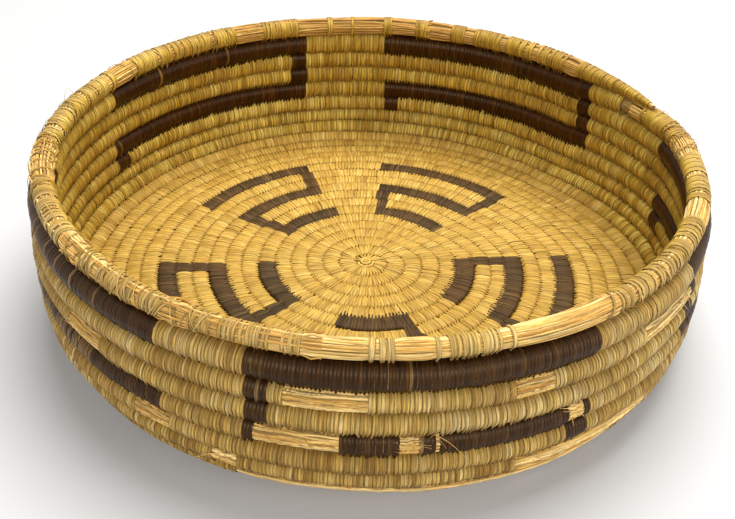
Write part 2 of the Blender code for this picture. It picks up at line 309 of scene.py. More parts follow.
# Loose lashings: the rim's stretches that they cross, as shares of a turn, and how many there are
LASHING_TURN_SHARES = (
    (25, 0.455, 0.560, 34),
    (25, 0.600, 0.700, 30),
    (25, 0.340, 0.420, 14),
    (25, 0.985, 1.045, 16),
    (25, 0.855, 0.900, 6),
)
LASHING_WIDTHS = (0.0006, 0.0014)
LASHING_LEANS = (0.002, 0.018)
LASHING_LIFTS = (0.0002, 0.0006)
LASHING_TONE_SHARES = (0.45, 1.0)

# Frayed fibres that stand off the lashed and bare stretches
FIBRES = 240
FIBRE_ANGLES = (-1.9, 1.2)
FIBRE_LENGTHS = (0.003, 0.009)
FIBRE_RADII = (0.00012, 0.00030)
FIBRE_TAPER_SHARE = 0.6
FIBRE_ROOT_DEPTH = 0.0004
FIBRE_STAND_SHARES = (0.10, 0.55)
FIBRE_CHANCE_SHARE = 0.25
FIBRE_CURL_SHARE = 0.5
FIBRE_DROOP_SHARE = 0.35
FIBRE_REACH_SHARE = 0.8
FIBRE_POINTS = 7
FIBRE_SIDES = 4

# The whorl that the coil starts from, level with the top of an inner round
WHORL_TURNS = 2.6
WHORL_START_RADIUS = 0.0002
WHORL_REACH = 0.0048
WHORL_LEVEL_TURN = 4.0
WHORL_RISE = 0.0001
WHORL_FALL = 0.0016
WHORL_STEM_RADIUS = 0.00085
WHORL_STEM_SWELL = 0.0001
WHORL_SWELLS = 9
WHORL_POINTS = 90
WHORL_SIDES = 8

# The materials' pattern: sizes of its stains and fibres, and how far apart two strips lie in it
STAIN_SCALE = 28
FIBRE_STRETCH = (1500, 70, 1)
FINE_FIBRE_STRETCH = (4300, 160, 1)
FIBRE_DEPTH = 0.00012
FIBRE_ROUGHNESS_SHARE = 0.25
FIBRE_GLOSS_SHARE = 0.12
STRIP_SPREAD = 5
STRIP_DEPTH = 7
BUNDLE_STRIP_STEP = 0.0009
BUNDLE_STRIP_TURN = 0.7

# Colours are red, green and blue in linear light, and each ramp runs from a skin's darkest to its palest
# tone. The edge colour is painted shade, for the gaps between stitches and the crevices between rounds.
SPECULAR_TINT = (1.0, 0.80, 0.50)
# Each skin's tint inside the bowl is painted bounce light and shade, warmer and darker than outside
SKINS = {
    "floor_splint": {
        "stops": (
            (0.0, (0.38, 0.21, 0.038)),
            (0.35, (0.57, 0.355, 0.075)),
            (0.7, (0.67, 0.44, 0.112)),
            (1.0, (0.80, 0.58, 0.20)),
        ),
        "stain": (0.52, 0.29, 0.05),
        "stain_share": 0.45,
        "fibre_share": 0.58,
        "edge": (0.20, 0.09, 0.013),
        "painted_edge_shade_share": 0.65,
        "painted_bounce_tint": (1.0, 0.97, 0.78),
        "roughness": 0.55,
        "specular": 0.25,
    },
    "wall_splint": {
        "stops": (
            (0.0, (0.34, 0.18, 0.038)),
            (0.4, (0.56, 0.35, 0.078)),
            (0.75, (0.71, 0.47, 0.13)),
            (1.0, (0.86, 0.64, 0.26)),
        ),
        "stain": (0.38, 0.20, 0.05),
        "stain_share": 0.5,
        "fibre_share": 0.45,
        "edge": (0.10, 0.045, 0.009),
        "painted_edge_shade_share": 0.85,
        "painted_bounce_tint": (1.0, 0.96, 0.48),
        "roughness": 0.58,
        "specular": 0.25,
    },
    "dark_splint": {
        "stops": (
            (0.0, (0.028, 0.009, 0.002)),
            (0.5, (0.050, 0.016, 0.003)),
            (0.85, (0.105, 0.042, 0.010)),
            (1.0, (0.42, 0.26, 0.09)),
        ),
        "stain": (0.10, 0.040, 0.010),
        "stain_share": 0.45,
        "fibre_share": 0.40,
        "edge": (0.007, 0.003, 0.001),
        "painted_edge_shade_share": 0.9,
        "painted_bounce_tint": (1.0, 0.80, 0.40),
        "roughness": 0.38,
        "specular": 0.22,
    },
    "faded_dark_splint": {
        "stops": (
            (0.0, (0.046, 0.026, 0.010)),
            (0.5, (0.088, 0.054, 0.023)),
            (0.85, (0.145, 0.090, 0.038)),
            (1.0, (0.30, 0.18, 0.06)),
        ),
        "stain": (0.13, 0.064, 0.020),
        "stain_share": 0.55,
        "fibre_share": 0.45,
        "edge": (0.018, 0.008, 0.003),
        "painted_edge_shade_share": 0.7,
        "painted_bounce_tint": (1.0, 0.94, 0.80),
        "roughness": 0.55,
        "specular": 0.15,
    },
    "grass_stem": {
        "stops": (
            (0.0, (0.44, 0.22, 0.04)),
            (0.3, (0.78, 0.49, 0.15)),
            (0.7, (0.90, 0.63, 0.25)),
            (1.0, (0.96, 0.78, 0.42)),
        ),
        "stain": (0.58, 0.31, 0.075),
        "stain_share": 0.5,
        "fibre_share": 0.6,
        "edge": (0.2, 0.1, 0.03),
        "painted_edge_shade_share": 0.55,
        "painted_bounce_tint": (1.0, 0.97, 0.85),
        "roughness": 0.5,
        "specular": 0.35,
    },
    "grass_bundle": {
        "stops": ((0.0, (0.42, 0.26, 0.09)), (1.0, (0.42, 0.26, 0.09))),
        "stain": (0.26, 0.14, 0.04),
        "stain_share": 0.6,
        "fibre_share": 0.5,
        "edge": (0.1, 0.05, 0.02),
        "painted_edge_shade_share": 0.55,
        "painted_bounce_tint": (1.0, 1.0, 1.0),
        "roughness": 0.7,
        "specular": 0.25,
    },
}

# The camera: where the photograph was taken from
IMAGE_WIDTH = 735
IMAGE_HEIGHT = 519
SENSOR_WIDTH_MM = 36.0
FOCAL_PIXELS = 950.0
CAMERA_ELEVATION = math.radians(34.82)
CAMERA_ROLL = math.radians(1.86)
CAMERA_DISTANCE = 0.5765
AIM_PIXEL = (366.39, 266.57)
AIM_POINT = Vector((0.0, 0.0, 0.007))

# The studio: the floor fades to plain white between two distances, and the white surround lights little
STAGE_SIZE = 30
STAGE_GREY = 0.55
WHITE_FROM = 0.55
WHITE_AT = 1.6
SURROUND_STRENGTH = 0.25

# Lamps: name, place, the point that it faces, diameter, watts and colour
LAMPS = (
    ("key", (0.17, 0.46, 1.42), (0, 0, 0.02), 1.2, 39, (1, 0.99, 0.97)),
    ("fill", (-0.20, -1.5, 0.95), (0, 0, 0.05), 0.9, 18, (1, 1, 1)),
    ("side", (1.5, -0.7, 0.55), (0, 0, 0.05), 0.9, 9, (1, 1, 1)),
)

rng = np.random.default_rng(11)


def level_at(turn):
    """Level of the coil after a number of turns, where whole levels are the rounds' own places."""
    number = np.floor(turn)
    share = turn - number
    half = CLIMB_TURN_SHARE / 2
    climb = (np.maximum(share - (1 - half), 0) - np.maximum(half - share, 0)) / CLIMB_TURN_SHARE
    levelled = np.clip((turn - EVEN_SPIRAL_TURNS) / LEVELLING_TURNS, 0, 1)
    return number + (1 - levelled) * (share - 0.5) + levelled * climb


def azimuth_at(turn):
    return CLIMB_AZIMUTH - 2 * math.pi * turn


def turn_of(number, turn_share):
    """Turns from the knot to a place on a round, given as a share of a turn counterclockwise."""
    return number + CLIMB_AZIMUTH / (2 * math.pi) + 1 - turn_share


def waves(turn, table):
    """Sum of waves round the coil: size, waves in a round and their shift from round to round."""
    a = azimuth_at(turn)
    return sum(size * np.sin(number * a + shift * turn) for size, number, shift in table)


def full_half_size(turn):
    """Half the thickness of the stitched round, without what the rim loses."""
    return np.interp(level_at(turn), LEVELS, ROUND_SIZES) / 2


def half_size(turn):
    """Half the thickness of the stitched round, thinner at the rim's front and its tail."""
    on_rim = np.clip(2 * (level_at(turn) - RIM_ROUND) + 1, 0, 1)
    front = np.maximum(-np.sin(azimuth_at(turn)), 0) ** 2 * on_rim
    size = full_half_size(turn) * (1 - FRONT_RIM_THINNING_SHARE * front)
    return size * np.interp(turn, (LAST_TURN - TAIL_TURN_SHARE, LAST_TURN), (1, TAIL_THICKNESS_SHARE))


def section(distance):
    """Radius, height and slope of the bowl at a distance along its section."""
    flat = ALONG[FLAT_ROUNDS]
    lifted = np.interp(LIFTED_TO_ROUND, LEVELS, ALONG)
    run = ALONG[STANDING_ROUND] - lifted
    eased = math.pi * np.clip((distance - lifted) / run, 0, 1)
    floor_height = FLOOR_LIFT * (1 + np.cos(eased)) / 2
    floor_slope = -np.arctan(FLOOR_LIFT * math.pi * np.sin(eased) / (2 * run))
    bend = np.clip((distance - flat) / BEND_RADIUS, 0, BEND_ANGLE)
    rise = np.maximum(distance - flat - BEND_RADIUS * BEND_ANGLE, 0) / WALL_ARC_RADIUS + BEND_ANGLE
    radius = np.minimum(distance, flat) + BEND_RADIUS * np.sin(bend)
    radius = radius + WALL_ARC_RADIUS * (np.sin(rise) - math.sin(BEND_ANGLE))
    height = floor_height + BEND_RADIUS * (1 - np.cos(bend))
    height = height + WALL_ARC_RADIUS * (math.cos(BEND_ANGLE) - np.cos(rise))
    slope = floor_slope + bend + rise - BEND_ANGLE
    return radius, height, slope


def turn_share_of(length, number):
    """A length along a round as a share of its turn."""
    return length / (2 * math.pi * section(ALONG[number])[0])


def stations(turn):
    """Centre, outward, inward and tangent directions of the coil, each as rows of three numbers."""
    turn = np.asarray(turn, float)
    distance = np.interp(level_at(turn), LEVELS, ALONG) - (full_half_size(turn) - half_size(turn))
    radius, height, slope = section(distance)
    a = azimuth_at(turn)
    radius = radius * (1 + OVAL_SHARE * np.cos(2 * (a - OVAL_AZIMUTH)))
    zero = np.zeros_like(a)
    radial = np.stack([np.cos(a), np.sin(a), zero], -1)
    tangent = np.stack([np.sin(a), -np.cos(a), zero], -1)
    up = np.stack([zero, zero, zero + 1], -1)
    outward = radial * np.cos(slope)[..., None] + up * np.sin(slope)[..., None]
    inward = up * np.cos(slope)[..., None] - radial * np.sin(slope)[..., None]
    centre = radial * radius[..., None] + up * (height + CENTRE_HEIGHT)[..., None]
    centre = centre + outward * waves(turn, OUTWARD_WAVES)[..., None]
    centre = centre + inward * waves(turn, INWARD_WAVES)[..., None]
    return centre, outward, inward, tangent


def square_power(turn):
    return np.interp(level_at(turn), SQUARE_LEVELS, SQUARE_POWERS)


def squared(angle, turn):
    """A point of the rounded square that the bundles are pressed into: outward and inward shares."""
    power = 2 / square_power(turn)
    c, s = np.cos(angle), np.sin(angle)
    return np.sign(c) * np.abs(c) ** power, np.sign(s) * np.abs(s) ** power


def square_height(x, turn):
    """Inward share of the rounded square's surface at an outward share."""
    power = square_power(turn)
    return (1 - np.abs(x) ** power) ** (1 / power)


def pressed(points):
    """The points, with those that would reach the table squeezed softly between it and the pressed height."""
    low = np.minimum(points[:, 2] / PRESSED_HEIGHT - 1, 0)
    points[:, 2] = np.where(low < 0, PRESSED_HEIGHT * np.exp(low), points[:, 2])
    return points


def mesh_object(name, points, faces, values, skin):
    """A smooth mesh of quads with named values on its points."""
    mesh = bpy.data.meshes.new(name)
    points = pressed(np.array(points, np.float64).reshape(-1, 3))
    faces = np.asarray(faces, np.int32).reshape(-1, 4)
    mesh.vertices.add(len(points))
    mesh.vertices.foreach_set("co", points.astype(np.float32).ravel())
    mesh.loops.add(faces.size)
    mesh.loops.foreach_set("vertex_index", faces.ravel())
    mesh.polygons.add(len(faces))
    mesh.polygons.foreach_set("loop_start", np.arange(0, faces.size, 4, dtype=np.int32))
    mesh.update(calc_edges=True)
    mesh.shade_smooth()
    for key, value in values.items():
        value = np.asarray(value, np.float32)
        kind, field = ("FLOAT_VECTOR", "vector") if value.ndim == 2 else ("FLOAT", "value")
        mesh.attributes.new(key, kind, "POINT").data.foreach_set(field, value.ravel())
    mesh.materials.append(skin)
    made = bpy.data.objects.new(name, mesh)
    bpy.context.scene.collection.objects.link(made)
    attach(made, "root")
    return made


def grid_faces(count, rows, columns, closed=False):
    """Quads of a number of grids of rows by columns points, one after another."""
    r, c = np.meshgrid(np.arange(rows - 1), np.arange(columns if closed else columns - 1), indexing="ij")
    beside = (c + 1) % columns
    corners = [r * columns + c, r * columns + beside, (r + 1) * columns + beside, (r + 1) * columns + c]
    quads = np.stack(corners, -1).reshape(-1, 4)
    return (np.arange(count)[:, None, None] * rows * columns + quads[None]).reshape(-1, 4)


def strip_places(across, path, chance):
    """Where each point lies in the fibre pattern: across its strip, along it, and apart from other strips."""
    steps = np.linalg.norm(np.diff(path, axis=1), axis=-1)
    along = np.concatenate([np.zeros((len(path), 1)), np.cumsum(steps, 1)], 1)
    places = np.zeros((*along.shape, across.shape[-1], 3))
    places[..., 0] = across + STRIP_SPREAD * chance[:, 0, None, None]
    places[..., 1] = along[:, :, None]
    places[..., 2] = chance[:, 1, None, None] * STRIP_DEPTH
    return places


def point_values(strip, tone, stain=0.0, edge=0.0, inside=0.0):
    """What the materials read at every point, spread over the whole mesh."""
    values = {"strip": strip.reshape(-1, 3)}
    # What comes in as stain is painted crevice shade, stored as tip
    for key, value in (("stitch", tone), ("tip", stain), ("edge", edge), ("inside", inside)):
        values[key] = np.broadcast_to(value, strip.shape[:-1]).ravel()
    return values


def hole_points(turn, side, depth, height):
    """Points at the shoulder of a round: depth is measured from its edge, and side is 1 for the inside."""
    centre, outward, inward = stations(turn)[:3]
    half = half_size(turn)[:, None]
    x = 1 - depth
    rise = square_height(x, turn)[:, None] * half + np.reshape(height, (-1, 1))
    return centre + outward * x[:, None] * half + side * inward * rise


def ribbons(turns, holes, widths, leans, lifts, bites):
    """Points of one ribbon per stitch, as stitches, path points, points across and coordinates."""
    centre, outward, inward, tangent = stations(turns)
    reach = half_size(turns) + lifts
    chance = (1 + BITE_CHANCE_SHARE * rng.standard_normal(len(turns))).clip(*BITE_RANGE_SHARES)
    bite = bites * chance * np.interp(level_at(turns), BITE_LEVELS, INSIDE_BITE_SHARES)
    low_bite = chance * np.interp(level_at(turns), BITE_LEVELS, OUTSIDE_BITE_SHARES)
    dive = hole_points(holes - 1, 1, bite + DIVE_BITE_SHARE, -DIVE_DEPTH)
    tip = hole_points(holes - 1, 1, bite, TIP_HEIGHT + lifts)
    low_tip = hole_points(holes - 1, -1, low_bite, LOW_TIP_HEIGHT)
    low_dive = hole_points(holes - 1, -1, LOW_DIVE_SHARE * low_bite + LOW_DIVE_BITE_SHARE, -LOW_DIVE_DEPTH)
    body = []
    for angle in BODY_ANGLES:
        x, n = squared(angle, turns)
        shift = leans * (1 - angle / BODY_ANGLES[0]) / 2
        place = centre + outward * (x * reach)[:, None] + inward * (n * reach)[:, None]
        body.append(place + tangent * shift[:, None])
    hole_shift = stations(holes - 1)[3] * leans[:, None]
    low_tip = low_tip + hole_shift
    low_dive = low_dive + hole_shift
    middle = (tip + body[0]) / 2 - inward * MIDDLE_DIP
    low_middle = (low_tip + body[-1]) / 2
    path = np.stack([dive, tip, middle, *body, low_middle, low_tip, low_dive], 1)
    along = np.gradient(path, axis=1)
    normal = np.cross(np.broadcast_to(tangent[:, None], along.shape), along)
    normal = normal / np.maximum(np.linalg.norm(normal, axis=-1, keepdims=True), 1e-9)
    outside = np.sum(normal * (path - centre[:, None]), -1)
    normal = normal * np.sign(outside.mean(1))[:, None, None]
    wide = widths[:, None] / 2 * WIDTH_SHARES[None]
    points = path[:, :, None] + tangent[:, None, None] * (wide[:, :, None] * ACROSS_SHARES)[..., None]
    return points + normal[:, :, None] * ACROSS_HEIGHTS[None, None, :, None]


def stitch_object(name, turns, holes, widths, leans, lifts, bites, tones, skin):
    """Ribbons in one mesh, with painted shade where they cross and dive into the rounds."""
    points = ribbons(turns, holes, widths, leans, lifts, bites)
    chance = rng.random((len(turns), 3))
    strip = strip_places(ACROSS_SHARES * widths[:, None, None] / 2, points.mean(2), chance)
    # Painted shade along each ribbon where it dives into the crevices and under the next round's tips,
    # blending the floor and wall shares between two levels
    on_floor = np.interp(level_at(turns), CREVICE_SHADE_LEVELS, (1, 0))[:, None]
    darkening_shares = on_floor * FLOOR_CREVICE_SHADE_SHARES + (1 - on_floor) * WALL_CREVICE_SHADE_SHARES
    values = point_values(
        strip, tones[:, None, None], darkening_shares[:, :, None], np.abs(ACROSS_SHARES), INSIDE_SHARES[:, None]
    )
    return mesh_object(name, points, grid_faces(*points.shape[:3]), values, skin)


def sew():
    """Places of all the stitches: turns, and the turns of the holes that they come up through."""
    fine = np.arange(FIRST_STITCH_TURN, LAST_TURN - UNSEWN_END_TURN_SHARE, SEWING_STEP_TURN_SHARE)
    radius = np.linalg.norm(stations(fine)[0][:, :2], axis=1)
    length = np.concatenate([[0], np.cumsum((radius[1:] + radius[:-1]) / 2 * np.diff(fine) * 2 * math.pi)])
    swing = PITCH_SWING_SHARE * np.interp(fine, PITCH_SWING_LEVELS, PITCH_SWING_LEVEL_SHARES)
    pitch = np.interp(fine, PITCH_LEVELS, PITCHES) * (1 + swing * np.sin(azimuth_at(fine)))
    count_along = np.concatenate([[0], np.cumsum(np.diff(length) / pitch[1:])])
    places = np.arange(0.5, count_along[-1], 1.0)
    places = places + PLACE_CHANCE_SHARE * rng.standard_normal(len(places))
    turns = np.interp(np.sort(places), count_along, fine)
    gaps = (turns[1:] + turns[:-1]) / 2
    nearest = np.searchsorted(gaps, turns - 1).clip(1, len(gaps) - 1)
    before, after = gaps[nearest - 1], gaps[nearest]
    hole = np.where(np.abs(turns - 1 - before) < np.abs(after - turns + 1), before, after)
    hole = np.where(turns - 1 < gaps[0], turns - 1, hole) + 1
    turn_length = 2 * math.pi * np.interp(turns, fine, radius)
    reach = HOLE_REACH_SHARE * np.interp(turns, fine, pitch) / turn_length
    return turns, np.clip(hole, turns - reach, turns + reach)


def within(turns, number, start, end):
    """Which places lie on one stretch of a round."""
    return (turns > turn_of(number, end)) & (turns < turn_of(number, start))


def floor_unit(turns, start, end):
    """Three bands, linked at the far end and then at the near end."""
    inner, middle, outer = FLOOR_BAND_ROUNDS
    chosen = np.zeros(len(turns), bool)
    for number in FLOOR_BAND_ROUNDS:
        chosen |= within(turns, number, start, end)
    for number in range(inner + 1, middle):
        chosen |= within(turns, number, end - turn_share_of(FLOOR_LINK_WIDTH, number), end)
    for number in range(middle + 1, outer):
        chosen |= within(turns, number, start, start + turn_share_of(FLOOR_LINK_WIDTH, number))
    return chosen


def wall_unit(turns, start, end):
    """Two bands, linked at the near end, with the start of a link below the far end."""
    low, top = WALL_BAND_ROUNDS
    chosen = within(turns, low, start, end) | within(turns, top, start, end)
    for number in range(low + 1, top):
        chosen |= within(turns, number, start, start + turn_share_of(WALL_LINK_WIDTH, number))
    chosen |= within(turns, low - 1, end - turn_share_of(WALL_LINK_WIDTH, low - 1), end)
    return chosen


def is_dark(turns):
    """Which places on the coil carry dark stitches."""
    dark = np.zeros(len(turns), bool)
    for start, end in FLOOR_UNIT_TURN_SHARES:
        dark |= floor_unit(turns, start, end)
    for start, end in WALL_UNIT_TURN_SHARES:
        dark |= wall_unit(turns, start, end)
    return dark


def is_bare(turns):
    """Which places below the rim have lost their stitches."""
    bare = np.zeros(len(turns), bool)
    for number, start, end in BARE_PATCH_TURN_SHARES:
        bare |= within(turns, number, start, end)
    return bare


def is_rim(turns):
    return level_at(turns) > RIM_ROUND - 0.5


def is_lost(turns):
    """Which stitches of the rim's sewn stretches are missing."""
    a = azimuth_at(turns)
    clumps = np.sin(CLUMP_WAVES[0] * a) + np.sin(CLUMP_WAVES[1] * a + CLUMP_SHIFT)
    lost = (rng.random(len(turns)) < LOST_SHARE) | (clumps < LOST_BELOW)
    return lost | (clumps < THINNED_BELOW) & within(turns, RIM_ROUND, *THINNED_TURN_SHARES)


def sewn_share(turns):
    """1 along the stretches of the rim whose stitches survive, 0 along the bare ones."""
    sewn = np.zeros(len(turns))
    for start, end in (*RIM_STITCH_TURN_SHARES, TAIL_STITCH_TURN_SHARES):
        inside = np.minimum(turns - turn_of(RIM_ROUND, end), turn_of(RIM_ROUND, start) - turns)
        sewn = np.maximum(sewn, np.clip(inside / SEWN_EDGE_TURN_SHARE + SEWN_EDGE_SHARE, 0, 1))
    return sewn


def pale_tones(turns):
    """How pale each pale stitch is."""
    level, a = level_at(turns), azimuth_at(turns)
    chance = np.interp(level, TONE_CHANCE_LEVELS, TONE_CHANCE_SHARES) * rng.standard_normal(len(turns))
    tones = TONE_SHARE + TONE_WAVE_SHARE * waves(turns, TONE_WAVES) + chance
    tones = tones + np.interp(level, TONE_LEVELS, TONE_LEVEL_SHARES)
    # Painted light and shade: the wall is paler on the right and at its foot at the back, and darker at its
    # foot in front
    right = np.maximum(np.cos(a - RIGHT_PAINTED_LIGHT_AZIMUTH), 0) * np.interp(level, RIGHT_PAINTED_LIGHT_LEVELS, (0, 1))
    painted_foot_light = np.sin(a) * np.interp(level, FOOT_PAINTED_LIGHT_LEVELS, (0, 1, 1, 0))
    tones = (tones + RIGHT_PAINTED_LIGHT_SHARE * right + FOOT_PAINTED_LIGHT_SHARE * painted_foot_light).clip(0, 1)
    around = RIM_BACK_TONE_SHARE * np.maximum(np.sin(a), 0) + RIM_RIGHT_TONE_SHARE * np.cos(a)
    rim_tones = (RIM_TONE_KEPT_SHARE * tones + RIM_TONE_SHARE - around).clip(0, 1)
    return np.where(is_rim(turns), rim_tones, tones)


def dark_tones(turns):
    """How pale each dark stitch is, where a worn one shows its straw."""
    count = len(turns)
    tones = DARK_TONE_SHARE + DARK_TONE_CHANCE_SHARE * rng.standard_normal(count)
    from_spot = azimuth_at(turns) % (2 * math.pi) - WORN_SPOT_AZIMUTH
    worn = WORN_SHARE + WORN_SPOT_SHARE * np.exp(-((from_spot / WORN_SPOT_SPREAD_ANGLE) ** 2))
    for number, start, end, share in WORN_BAND_TURN_SHARES:
        worn = worn + share * within(turns, number, start, end)
    is_worn = rng.random(count) < worn
    return np.where(is_worn, rng.uniform(*WORN_TONE_SHARES, count), tones.clip(0, DARK_TONE_MOST_SHARE))


def stitch_sizes(turns):
    """Width, lean along the round and lift off it of each stitch, all more uneven on the rim."""
    level, count = level_at(turns), len(turns)
    radius = section(np.interp(level, LEVELS, ALONG))[0]
    spacing = np.gradient(turns) * 2 * math.pi * radius
    widths = spacing.clip(LEAST_WIDTH, MOST_WIDTH) * rng.uniform(*WIDTH_RANGE_SHARES, count)
    leans = np.interp(level, LEAN_LEVELS, LEAN_SHARES) * spacing * rng.uniform(*LEAN_RANGE_SHARES, count)
    lifts = LIFT * rng.standard_normal(count).clip(*LIFT_RANGE_SHARES)
    rim = is_rim(turns)
    lean_shares = RIM_LEAN_SHARE + RIM_LEAN_CHANCE_SHARE * rng.standard_normal(rim.sum())
    leans[rim] = spacing[rim] * lean_shares.clip(*RIM_LEAN_RANGE_SHARES)
    widths[rim] *= rng.uniform(*RIM_WIDTH_RANGE_SHARES, rim.sum())
    lifts[rim] = RIM_LIFT * np.abs(rng.standard_normal(rim.sum())).clip(0, LIFT_RANGE_SHARES[1])
    return widths, leans, lifts


def stitch_bites(turns, holes):
    """How far stitches bite: dark ones far, and those above a dark round little, so that it shows."""
    bites = np.where(is_dark(holes - 1), BITE_OVER_DARK_SHARE, 1.0)
    return np.where(is_dark(turns), np.interp(level_at(turns), DARK_BITE_LEVELS, DARK_BITE_SHARES), bites)


def make_stitches(skins):
    """All the stitches, in one object for each fret unit, stretch of the rim and round."""
    turns, holes = sew()
    pale, dark = pale_tones(turns), dark_tones(turns)
    sizes = stitch_sizes(turns)
    bites = stitch_bites(turns, holes)
    bare = is_bare(turns)
    taken = bare.copy()

    def make(name, chosen, skin, slot, replaced=None):
        tones = dark if slot == "dark_splint" else pale
        values = [each[chosen] for each in (turns, holes, *sizes, bites, tones)]
        made = stitch_object(name, *values, skins[skin])
        if replaced:
            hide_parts(replaced)

    for index, (start, end) in enumerate(FLOOR_UNIT_TURN_SHARES, 1):
        chosen = floor_unit(turns, start, end)
        taken |= chosen
        name, replaced = f"floor_fret_stitches_{index}", f"floor_fret_{index}"
        make(name, chosen, "faded_dark_splint", "dark_splint", replaced)
    for index, (start, end) in enumerate(WALL_UNIT_TURN_SHARES, 1):
        chosen = wall_unit(turns, start, end) & ~bare
        taken |= chosen
        name, replaced = f"wall_fret_stitches_{index}", f"wall_fret_{index}"
        make(name, chosen, "dark_splint", "dark_splint", replaced)
    make("tail_stitches", within(turns, RIM_ROUND, *TAIL_STITCH_TURN_SHARES), "wall_splint", "pale_splint")
    lost = is_lost(turns)
    for index, (start, end) in enumerate(RIM_STITCH_TURN_SHARES, 1):
        chosen = within(turns, RIM_ROUND, start, end) & ~lost
        name, replaced = f"rim_stitches_{index:02d}", f"rim_stitching_{index:02d}"
        make(name, chosen, "wall_splint", "pale_splint", replaced)
    for number in range(RIM_ROUND):
        chosen = (np.floor(turns) == number) & ~taken
        part = "floor" if number <= FLOOR_ROUNDS else "wall"
        make(f"pale_stitches_{number:02d}", chosen, f"{part}_splint", f"{part}_straw")


def bundle(name, start, end, skin):
    """The grass bundle under the stitches: a tube with a lobe for each stem."""
    turns = np.arange(start, end, BUNDLE_STEP_TURN_SHARE)
    centre, outward, inward = stations(turns)[:3]
    half = half_size(turns) - SPLINT_THICKNESS - np.interp(turns, BUNDLE_SLACK_TURNS, BUNDLE_SLACKS)
    half = np.maximum(half, LEAST_BUNDLE_RADIUS)[:, None]
    angle = np.arange(BUNDLE_SIDES) * 2 * math.pi / BUNDLE_SIDES
    x, n = squared(angle[None], turns[:, None])
    lobe = 1 + BUNDLE_LOBE_SHARE * np.cos(BUNDLE_LOBES * angle[None] + BUNDLE_TWIST_ANGLE * turns[:, None])
    ridge = np.abs(np.cos(angle)) ** RIDGE_POWER * np.interp(turns, RIDGE_TURNS, (RIDGE_HEIGHT, 0))[:, None]
    x, n = x * (lobe * half + ridge), n * lobe * half
    points = centre[:, None] + outward[:, None] * x[..., None] + inward[:, None] * n[..., None]
    strip = np.zeros((len(turns), BUNDLE_SIDES, 3))
    strip[..., 0] = np.arange(BUNDLE_SIDES) * BUNDLE_STRIP_STEP
    strip[..., 1] = (turns * BUNDLE_STRIP_TURN)[:, None]
    faces = grid_faces(1, len(turns), BUNDLE_SIDES, True)
    return mesh_object(name, points, faces, point_values(strip, 0.5), skin)


def make_coil(skins):
    ends = [start for name, start, slot in COILS[1:]] + [LAST_TURN]
    for (coil, start, slot), end in zip(COILS, ends):
        made = bundle(coil.replace("coil", "grass_bundle"), start, end, skins["grass_bundle"])
        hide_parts(coil)


def tubes(name, centres, radii, skin, sides=6, shade=1.0):
    """Tubes through rows of centre points, each as a ring of sides at every point."""
    count, rows = centres.shape[:2]
    along = np.gradient(centres, axis=1)
    along /= np.maximum(np.linalg.norm(along, axis=-1, keepdims=True), 1e-12)
    up = np.zeros_like(along)
    up[..., 2] = 1
    up[np.abs(along[..., 2]) > 0.9] = (1, 0, 0)
    first = np.cross(along, up)
    first /= np.linalg.norm(first, axis=-1, keepdims=True)
    second = np.cross(along, first)
    angle = np.arange(sides) * 2 * math.pi / sides
    ring = first[:, :, None] * np.cos(angle)[:, None] + second[:, :, None] * np.sin(angle)[:, None]
    points = centres[:, :, None] + ring * radii[:, :, None, None]
    chance = rng.random((count, 3))
    strip = strip_places(np.sin(angle) * STEM_RADIUS, centres, chance)
    tones = chance[:, 2, None, None] * np.reshape(shade, (1, -1, 1))
    faces = grid_faces(count, rows, sides, True)
    # Stems take the painted bounce tint all over
    return mesh_object(name, points, faces, point_values(strip, tones, inside=1.0), skin)


def stems(name, number, start, end, count, radius, step, skin, loose=0.0, crossing=STEM_CROSSING_ANGLE):
    """Separate stems lying side by side round one stretch of the bundle."""
    turns = np.arange(turn_of(number, end), turn_of(number, start), turn_share_of(step, number))
    centre, outward, inward = stations(turns)[:3]
    under = sewn_share(turns) if number == RIM_ROUND else np.full(len(turns), 0.5)
    half = half_size(turns) - radius * STEM_SINK_SHARE - SEWN_STEM_DEPTH * under
    half = np.maximum(half, LEAST_STEM_REACH)
    share = np.linspace(0, 1, len(turns))
    centres = []
    for index in range(count):
        phase = rng.random(3) * 2 * math.pi
        pace = rng.uniform(*STEM_PACE_SHARES, 2)
        angle = 2 * math.pi * (index + STEM_PLACE_CHANCE_SHARE * rng.standard_normal()) / count
        angle = angle + STEM_SWAY * np.sin(pace[0] * STEM_SWAY_ANGLE * share + phase[0])
        angle = angle + crossing * rng.standard_normal() * (share - 0.5)
        x, n = squared(angle, turns)
        wave = np.sin(pace[1] * STEM_SWELL_ANGLE * share + phase[1])
        swell = (STEM_SWELL + loose) * wave * (1 - under) + loose
        depth = half + swell - abs(STEM_SWELL * rng.standard_normal()) * (1 - under)
        centres.append(centre + outward * (x * depth)[:, None] + inward * (n * depth)[:, None])
    radii = radius * rng.uniform(*STEM_RADIUS_SHARES, (count, 1)) * np.ones((1, len(turns)))
    shade = 1 - STEM_BACK_SHADE_SHARE * np.maximum(np.sin(azimuth_at(turns)), 0) ** 0.5
    return tubes(name, np.array(centres), radii, skin, shade=shade)


